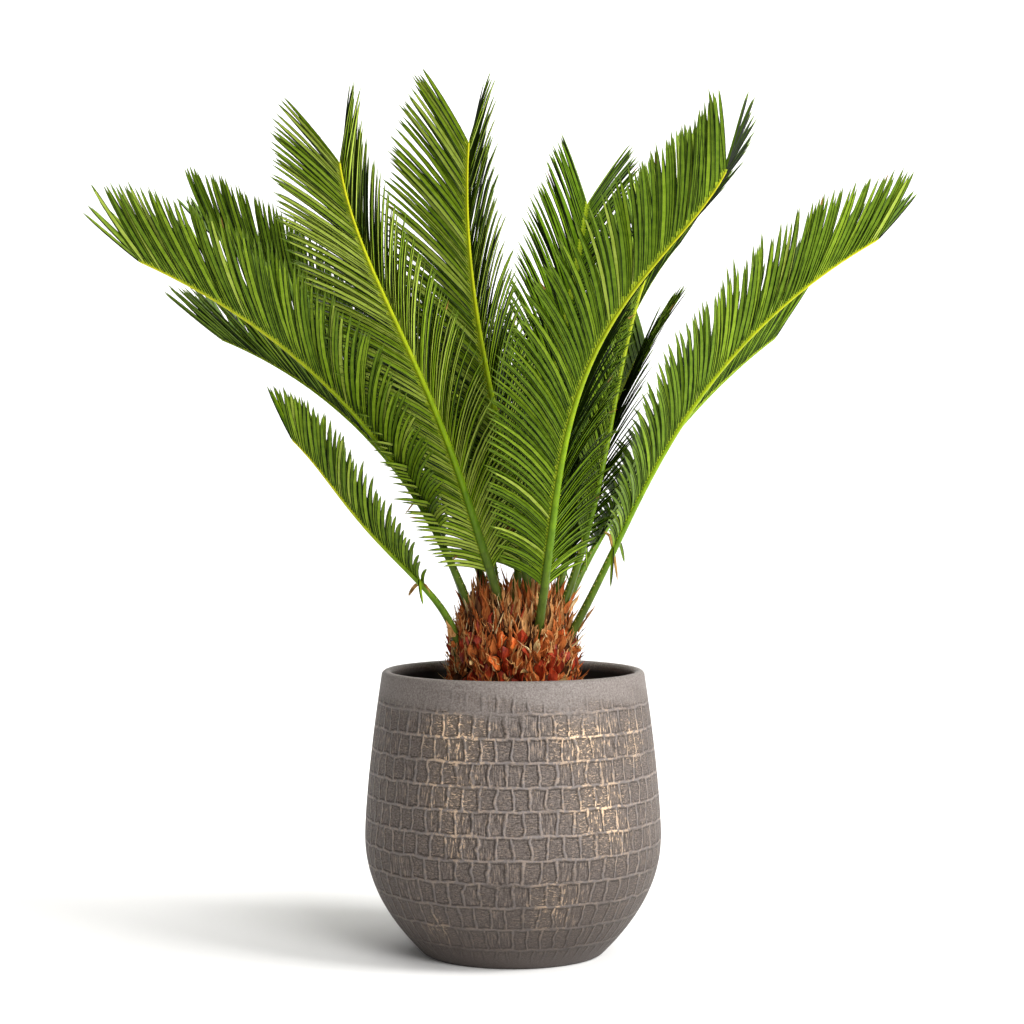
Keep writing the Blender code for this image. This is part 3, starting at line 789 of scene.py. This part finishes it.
# Leaf skin: a thick waxy cuticle over green tissue, glossier above than below, in soft mottles of about
# 6 mm. The rolled margins lie in their own shade and are drawn near black. Dark tone, light tone, roughness:
LEAF_TONES = {
    "leaf_top_edge": ("#060C00", "#142200", 0.4), "leaf_top_deep": ("#486408", "#5E7C10", 0.4),
    "leaf_top_mid": ("#6E8C0C", "#86A21C", 0.4), "leaf_top_light": ("#9AB02A", "#B2C448", 0.42),
    "leaf_under_edge": ("#0E1A00", "#1E3204", 0.5), "leaf_under_deep": ("#54700C", "#6A861A", 0.5),
    "leaf_under_mid": ("#708E14", "#86A026", 0.5), "leaf_under_light": ("#94AA34", "#A8BA4E", 0.5),
    "leaf_root": ("#8CA01A", "#A4B42A", 0.5), "leaf_point": ("#546E16", "#6C822A", 0.5),
    "leaf_dry": ("#7A5A24", "#A88448", 0.7),
}
leaf_materials = [
    skin_material(name, low, high, roughness, 0.006, bump=0.2, depth=0.0003, shine=0.12)
    for name, (low, high, roughness) in LEAF_TONES.items()
]

# Shares of deep, middling and light leaflets, which paint light and shade: lighter for fronds that face the
# lights, darker for those in shade: in fronds of their own mix, in the others in front, and behind
LIT_AND_SHADED_SHARES = {
    "frond_left_front": (0.02, 0.38, 0.6), "frond_centre": (0.1, 0.5, 0.4),
    "frond_right_front": (0.75, 0.23, 0.02), "frond_right_arch": (0.75, 0.23, 0.02),
}
FRONT_LIGHT_SHADE_SHARES = (0.45, 0.45, 0.1)
BACK_SHADE_SHARES = (0.9, 0.1, 0.0)
DRY_POINTS = 0.02

# Numbers of the leaf skins. The strips of the section, in order, are edge, top, edge, edge, under, edge.
TOP_EDGE, TOP_DEEP, UNDER_EDGE, UNDER_DEEP, ROOT, POINT, DRY = 0, 1, 4, 5, 8, 9, 10
TOP_STRIP = 1
UNDER_STRIP = 4

# Snapped and dried leaflets: frond, place along its blade, hand (1 right, -1 left), how far it falls, dry
DAMAGE = (
    ("frond_left_low", 0.0, -1, 0.3, True), ("frond_left_low", 0.0, 1, 0.5, True),
    ("frond_left_low", 0.05, -1, 0.6, False), ("frond_right_arch", 0.0, 1, 1.2, False),
    ("frond_right_arch", 0.012, -1, 0.6, False), ("frond_right_inner", 0.02, -1, 1.5, False),
    ("frond_centre", 0.1, 1, 0.5, True), ("frond_right_back", 0.06, 1, 1.4, True),
    ("frond_rear_left", 0.3, -1, 0.8, True), ("frond_rear_right", 0.04, 1, 1.5, False),
)


def leaflet_rings(frond, rng):
    """Points of all the frond's leaflets, as leaflet by ring by the corners of its folded section."""
    pairs = round(frond.length * (1 - frond.bare) / LEAFLET_PITCH)
    parts = np.repeat(frond.bare + (1 - frond.bare) * (np.arange(pairs) + 0.5) / pairs, 2)
    hands = np.tile([1.0, -1.0], pairs)[:, None]
    count = len(parts)
    places = (parts - frond.bare) / (1 - frond.bare)
    centres, forward, up, right = frames_at(FRAMES[frond.name], parts)
    sizes = at(LEAFLET_LENGTHS, places)
    lengths = frond.leaflet * sizes * rng.uniform(*LENGTH_SPREAD, count)
    angles = at(LEAFLET_ANGLES, places) + rng.normal(0, ANGLE_SPREAD, count)
    bows = at(LEAFLET_BOWS, places)
    lifts = frond.vee * at(LEAFLET_LIFTS, places) + rng.normal(0, LIFT_SPREAD, count)
    rolled = ROLL_TWIST * np.interp(parts, [0, 1], frond.roll) * hands[:, 0]
    twists = np.radians(TWIST + rolled + rng.normal(0, TWIST_SPREAD, count))[:, None]
    broads = (LEAFLET_WIDTH * (0.75 + 0.25 * sizes) * rng.uniform(*WIDTH_SPREAD, count))[:, None]
    centres = centres + rib_radius(parts)[:, None] * 0.6 * (hands * right + 0.35 * up)
    falls = np.zeros((count, 1))
    dried = np.zeros(count, bool)
    for name, place, hand, fall, dry in DAMAGE:
        if name == frond.name:
            nearest = np.argmin(abs(places - place) + abs(hands[:, 0] - hand))
            falls[nearest] = fall
            dried[nearest] = dry
    rings = []
    before = 0.0
    for station, width_share in zip(STATIONS, WIDTHS):
        bend = bows * ((before + station) / 2 - 0.4)
        tilt = np.radians(angles + bend)[:, None]
        lift = np.radians(lifts - abs(bend) / 3)[:, None]
        outward = np.cos(lift) * hands * right + np.sin(lift) * up
        heading = np.cos(tilt) * forward + np.sin(tilt) * outward
        heading = unit(heading - falls * min(4 * station, 2.0) * UP)
        centres = centres + heading * (lengths * (station - before))[:, None]
        before = station
        wide = unit(forward - heading * np.sum(forward * heading, axis=1, keepdims=True))
        thick = np.cross(heading, wide) * hands
        turned_wide = wide * np.cos(twists) - thick * np.sin(twists)
        turned_thick = thick * np.cos(twists) + wide * np.sin(twists)
        half = broads * width_share / 2
        crest = turned_thick * FOLD * broads * width_share
        core = turned_thick * LEAF_THICK * min(1.0, 2 * width_share)
        rings.append([centres + turned_wide * half * a + crest * b + core * c for a, b, c in SECTION])
    return np.array(rings).transpose(2, 0, 1, 3), hands[:, 0], dried


def leaflet_faces(count, hands):
    """Faces of that many leaflets, each a folded blade from its root to its point."""
    rings = len(STATIONS) - 1
    sides = len(SECTION)
    corner = np.arange(sides)
    after = (corner + 1) % sides
    quads = [
        sides * ring + np.stack([corner, after, after + sides, corner + sides], axis=1)
        for ring in range(rings - 1)
    ]
    last = sides * (rings - 1)
    quads = np.concatenate(quads)
    points = np.stack([last + corner, last + after, np.full(sides, last + sides)], axis=1)
    faces = []
    for number in range(count):
        start = number * (sides * rings + 1)
        turn = 1 if hands[number] > 0 else -1
        faces += (quads[:, ::turn] + start).tolist() + (points[:, ::turn] + start).tolist()
    return faces


for number, frond in enumerate(FRONDS):
    rng = np.random.default_rng(100 + number)
    rings, hands, dried = leaflet_rings(frond, rng)
    count = len(rings)
    blades = rings[:, :-1].reshape(count, -1, 3)
    tips = rings[:, -1, 0][:, None]
    points = np.concatenate([blades, tips], axis=1).reshape(-1, 3)
    # Painted light and shade: each frond's leaflets are dealt tones by where it stands to the lights
    shares = LIT_AND_SHADED_SHARES.get(frond.name, BACK_SHADE_SHARES if frond.foot[1] > 0 else FRONT_LIGHT_SHADE_SHARES)
    shades = rng.choice([0, 1, 2], size=count, p=shares)
    strips = [TOP_EDGE, TOP_DEEP, TOP_EDGE, UNDER_EDGE, UNDER_DEEP, UNDER_EDGE]
    slots = np.tile(strips, (count, len(STATIONS) - 1))
    for strip in (TOP_STRIP, UNDER_STRIP):
        slots[:, strip :: len(strips)] += shades[:, None]
    slots[:, : len(strips)] = ROOT
    slots[:, -len(strips) :] = np.where(rng.random(count) < DRY_POINTS, DRY, POINT)[:, None]
    slots[dried] = DRY
    leaflets = mesh_piece(
        frond.name + "_leaflets", points, leaflet_faces(count, hands), slots.reshape(-1), leaf_materials, 25
    )
    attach(leaflets, "root")
    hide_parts(frond.name)

# Trunk. A short barrel of old leaf bases, thick and wine red where they have weathered, under rows of dry
# papery scales that stand up to a ragged crown of points between the petioles. Cut leaf stubs show in it.
# TRUNK_GIRTH is its radius at shares of its height. Bases and scales follow each other by the golden angle.
TRUNK_TOP = 0.306
TRUNK_GIRTH = (
    (0.0, 0.050), (0.2, 0.055), (0.45, 0.055), (0.6, 0.050),
    (0.75, 0.043), (0.88, 0.035), (0.96, 0.028), (1.0, 0.02),
)
CORE_SIDES = 96
CORE_ROWS = 30
CORE_INSET = 0.004
CORE_SINK = 0.002
FAT_BASES = 150
DRY_SCALES = 430
FIBRES = 900
STUB_LENGTH = 0.0095
SHEATHS = 9
WEATHERING = 0.0009
GOLDEN_TURN = math.radians(137.508)
SCALE_STATIONS = (0.0, 0.16, 0.36, 0.58, 0.8)
SCALE_WIDTHS = (0.8, 1.0, 0.86, 0.56, 0.26)
LUMP_WIDTHS = (0.9, 1.0, 1.0, 0.88, 0.6)

# Leaf bases: dead plant fibre. Scales and wool are papery and dull, the weathered bases are smoother with a
# soft gloss, and fresh cuts are pale. Streaks of about 2 mm run up them. Dark tone, light tone, roughness:
TRUNK_TONES = {
    "scale_tan": ("#96602E", "#DEA66A", 0.85), "scale_rust": ("#843A12", "#C06E34", 0.8),
    "scale_maroon": ("#5E1208", "#B03E1E", 0.42), "scale_orange": ("#A03208", "#F08038", 0.4),
    # The dark scale tone also paints the shade on the core between the scales
    "scale_dark_and_shade": ("#2A1206", "#5A3418", 0.9), "wool_cream": ("#B89460", "#DCC496", 0.95),
    "cut_face": ("#A8844E", "#DCBC84", 0.8), "cut_ring": ("#4A2614", "#6E4226", 0.8),
}
TAN, RUST, MAROON, ORANGE, DARK_AND_SHADE, WOOL, CUT_FACE, CUT_RING = range(8)
trunk_materials = [
    skin_material(
        name, low, high, roughness, 0.0022, stretch=(1, 1, 0.12), bump=0.8, depth=0.0010, shine=0.2
    )
    for name, (low, high, roughness) in TRUNK_TONES.items()
]


def trunk_surface(part, turn, inset=0.0):
    """A point on the barrel, with the way out of it. part runs from the soil to the top."""
    level = SOIL_LEVEL + (TRUNK_TOP - SOIL_LEVEL) * math.sin(part * math.pi / 2) ** 0.9
    radius = at(TRUNK_GIRTH, part) - inset
    out = np.array([math.cos(turn), math.sin(turn), 0.0])
    return out * radius + np.array([0.0, 0.0, level]), out


def add_scale(store, root, heading, curl, face, length, width, thick, tone, shares=SCALE_WIDTHS):
    """Adds one tapering scale. It starts along heading, bends by curl, and turns its broad side to face."""
    points, faces, slots = store
    start = len(points)
    centre = np.array(root, float)
    before = 0.0
    for station, share in zip(SCALE_STATIONS, shares):
        way = unit(np.asarray(heading, float) + np.asarray(curl, float) * station)
        centre = centre + way * length * (station - before)
        before = station
        wide = unit(np.cross(way, face))
        outer = np.cross(wide, way)
        half = width * share / 2
        bulge = thick * (0.35 + 0.65 * share) / 2
        points += [centre - wide * half, centre + outer * bulge * 1.5]
        points += [centre + wide * half, centre - outer * bulge]
    points.append(centre + way * length * (1 - before))
    rings = len(SCALE_STATIONS)
    for ring in range(rings):
        for k in range(4):
            after = (k + 1) % 4
            base = start + 4 * ring
            if ring < rings - 1:
                faces.append((base + k, base + 4 + k, base + 4 + after, base + after))
            else:
                faces.append((base + k, start + 4 * rings, base + after))
            slots.append(tone)
    faces.append((start, start + 1, start + 2, start + 3))
    slots.append(tone)


def add_stub(store, root, way, radius, length):
    """Adds the stub of a cut leaf: a stout peg with a dark rim round its pale cut face."""
    points, faces, slots = store
    sides = 12
    profile = ((0.0, 1.25), (0.7, 1.05), (1.0, 1.0), (1.0, 0.74), (0.94, 0.66), (0.94, 0.22), (0.8, 0.16))
    across = unit(np.cross(way, UP))
    upward = np.cross(across, way)
    start = len(points)
    for share, size in profile:
        for k in range(sides):
            turn = math.tau * k / sides
            ragged = 1 + 0.07 * math.sin(3 * turn + radius * 9000)
            spoke = math.cos(turn) * across + 0.8 * math.sin(turn) * upward
            points.append(root + way * length * share + spoke * radius * size * ragged)
    tones = (RUST, RUST, CUT_RING, CUT_FACE, CUT_FACE, CUT_RING)
    for ring, tone in enumerate(tones):
        for k in range(sides):
            after = (k + 1) % sides
            base = start + ring * sides
            faces.append((base + k, base + after, base + sides + after, base + sides + k))
            slots.append(tone)
    last = start + len(tones) * sides
    faces.append(tuple(range(last, last + sides)))
    slots.append(CUT_RING)


rng = np.random.default_rng(7)

# The core that shows between the scales, painted near black as the shade in the crevices
points, faces, slots = [], [], []
for row in range(CORE_ROWS + 1):
    for k in range(CORE_SIDES):
        point, out = trunk_surface(row / CORE_ROWS, math.tau * k / CORE_SIDES, CORE_INSET)
        points.append(point)
points = np.array(points)
rough = grainy(points, 0.009, 31) + 0.5 * grainy(points, 0.004, 32)
points[:, :2] *= (1 + 0.03 * rough)[:, None]
points[:, 2] = np.maximum(points[:, 2] - CORE_SINK, SOIL_LEVEL - CORE_SINK)
points = [*points, points[-CORE_SIDES:].mean(axis=0) + CORE_SINK * UP]
for row in range(CORE_ROWS):
    for k in range(CORE_SIDES):
        after = (k + 1) % CORE_SIDES
        base = row * CORE_SIDES
        faces.append((base + k, base + after, base + CORE_SIDES + after, base + CORE_SIDES + k))
        slots.append(DARK_AND_SHADE)
last = CORE_ROWS * CORE_SIDES
for k in range(CORE_SIDES):
    faces.append((last + k, last + (k + 1) % CORE_SIDES, len(points) - 1))
    slots.append(DARK_AND_SHADE)
store = (points, faces, slots)

# Fat old leaf bases, lowest on the barrel
for number in range(FAT_BASES):
    part = 0.02 + 0.5 * (number / FAT_BASES) ** 0.9
    root, out = trunk_surface(part, number * GOLDEN_TURN, 0.007)
    tangent = np.cross(UP, out)
    way = unit(out * rng.uniform(0.7, 1.0) + UP * rng.uniform(0.5, 1.1) + tangent * rng.normal(0, 0.25))
    tone = rng.choice([MAROON, RUST, ORANGE, DARK_AND_SHADE], p=[0.5, 0.28, 0.14, 0.08])
    add_scale(
        store, root, way, UP * 0.8, out, rng.uniform(0.011, 0.015), rng.uniform(0.010, 0.015),
        rng.uniform(0.008, 0.012), tone, LUMP_WIDTHS,
    )

# Pale feet of fallen leaves, still moist: turn round the trunk in degrees, share of its height
for turn, part in ((292, 0.42), (321, 0.16), (40, 0.3), (120, 0.4)):
    root, out = trunk_surface(part, math.radians(turn), 0.003)
    add_scale(store, root, unit(out + 0.8 * UP), UP, out, 0.015, 0.0075, 0.007, CUT_FACE, LUMP_WIDTHS)

# Dry papery scales, longer towards the top
for number in range(DRY_SCALES):
    part = 0.1 + 0.84 * (number / DRY_SCALES) ** 0.62
    root, out = trunk_surface(part, number * GOLDEN_TURN + rng.normal(0, 0.1), 0.004)
    tangent = np.cross(UP, out)
    steep = 0.35 + 1.5 * part
    way = unit(out * rng.uniform(0.2, 0.6) * (1.05 - part) + UP * steep + tangent * rng.normal(0, 0.16))
    curl = out * rng.normal(0.0, 0.35) * (1.05 - part) + tangent * rng.normal(0, 0.3)
    high = max(part - 0.35, 0)
    length = rng.uniform(0.014, 0.024) + rng.uniform(0.2, 1.0) * 0.034 * high
    length *= 0.7 + 0.5 * abs(math.sin(2.5 * math.atan2(out[1], out[0]) + 1.1))
    wide = rng.uniform(0.0035, 0.0075)
    shares = [0.15 + 0.4 * part, 0.34, max(0.26 - 0.3 * part, 0.0), max(0.08 - 0.12 * part, 0.0), 0.2]
    tone = rng.choice([TAN, RUST, MAROON, ORANGE, DARK_AND_SHADE], p=np.array(shares) / sum(shares))
    add_scale(store, root, way, curl, out, length, wide, rng.uniform(0.001, 0.0022), tone)

# Loose fibres of torn scales
for number in range(FIBRES):
    part = rng.uniform(0.03, 0.93)
    root, out = trunk_surface(part, rng.uniform(0, math.tau), -0.002)
    tangent = np.cross(UP, out)
    way = UP * (0.5 + part) + out * rng.uniform(0.0, 0.5) * (1.1 - part) + tangent * rng.normal(0, 0.45)
    curl = out * rng.normal(0, 0.4) + tangent * rng.normal(0, 0.5)
    tone = rng.choice([TAN, RUST, DARK_AND_SHADE, WOOL], p=[0.35, 0.35, 0.2, 0.1])
    length = rng.uniform(0.009, 0.024)
    add_scale(store, root, unit(way), curl, out, length, rng.uniform(0.0008, 0.0018), 0.0006, tone)

# Stubs of cut leaves: turn round the trunk in degrees, share of its height, radius
STUBS = (
    (234, 0.32, 0.0034), (279, 0.27, 0.0032), (318, 0.10, 0.0034), (291, 0.06, 0.0036),
    (246, 0.10, 0.0030), (345, 0.40, 0.0030), (20, 0.2, 0.0034), (58, 0.34, 0.0032),
    (95, 0.14, 0.0036), (131, 0.3, 0.0032), (168, 0.18, 0.0034), (205, 0.45, 0.0030),
)
for turn, part, radius in STUBS:
    root, out = trunk_surface(part, math.radians(turn), 0.002)
    add_stub(store, root, unit(out + 0.35 * UP), radius, STUB_LENGTH)

# Papery sheaths and wool that hold the foot of each petiole
for frond in FRONDS:
    for number in range(SHEATHS):
        wanted = np.array([rng.uniform(-0.02, 0.018) / frond.length - 0.006])
        centre, along, upper, side = (rows[0] for rows in frames_at(FRAMES[frond.name], wanted))
        turn = math.tau * number / SHEATHS + rng.normal(0, 0.2)
        spoke = math.cos(turn) * side + math.sin(turn) * upper
        root = centre + spoke * (PETIOLE_RADIUS + 0.0008)
        tone = rng.choice([TAN, WOOL, RUST], p=[0.6, 0.25, 0.15])
        add_scale(
            store, root, along + spoke * 0.08, spoke * rng.uniform(-0.1, 0.25), spoke,
            rng.uniform(0.014, 0.030), rng.uniform(0.0045, 0.007), 0.0012, tone,
        )

# Weathering pulls every scale a little out of shape
points, faces, slots = store
points = np.array(points)
points += WEATHERING * np.stack([grainy(points, 0.006, seed) for seed in (41, 42, 43)], axis=1)
trunk = mesh_piece("trunk_scales", points, faces, slots, trunk_materials, 40)
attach(trunk, "root")
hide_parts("trunk")

low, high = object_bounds()
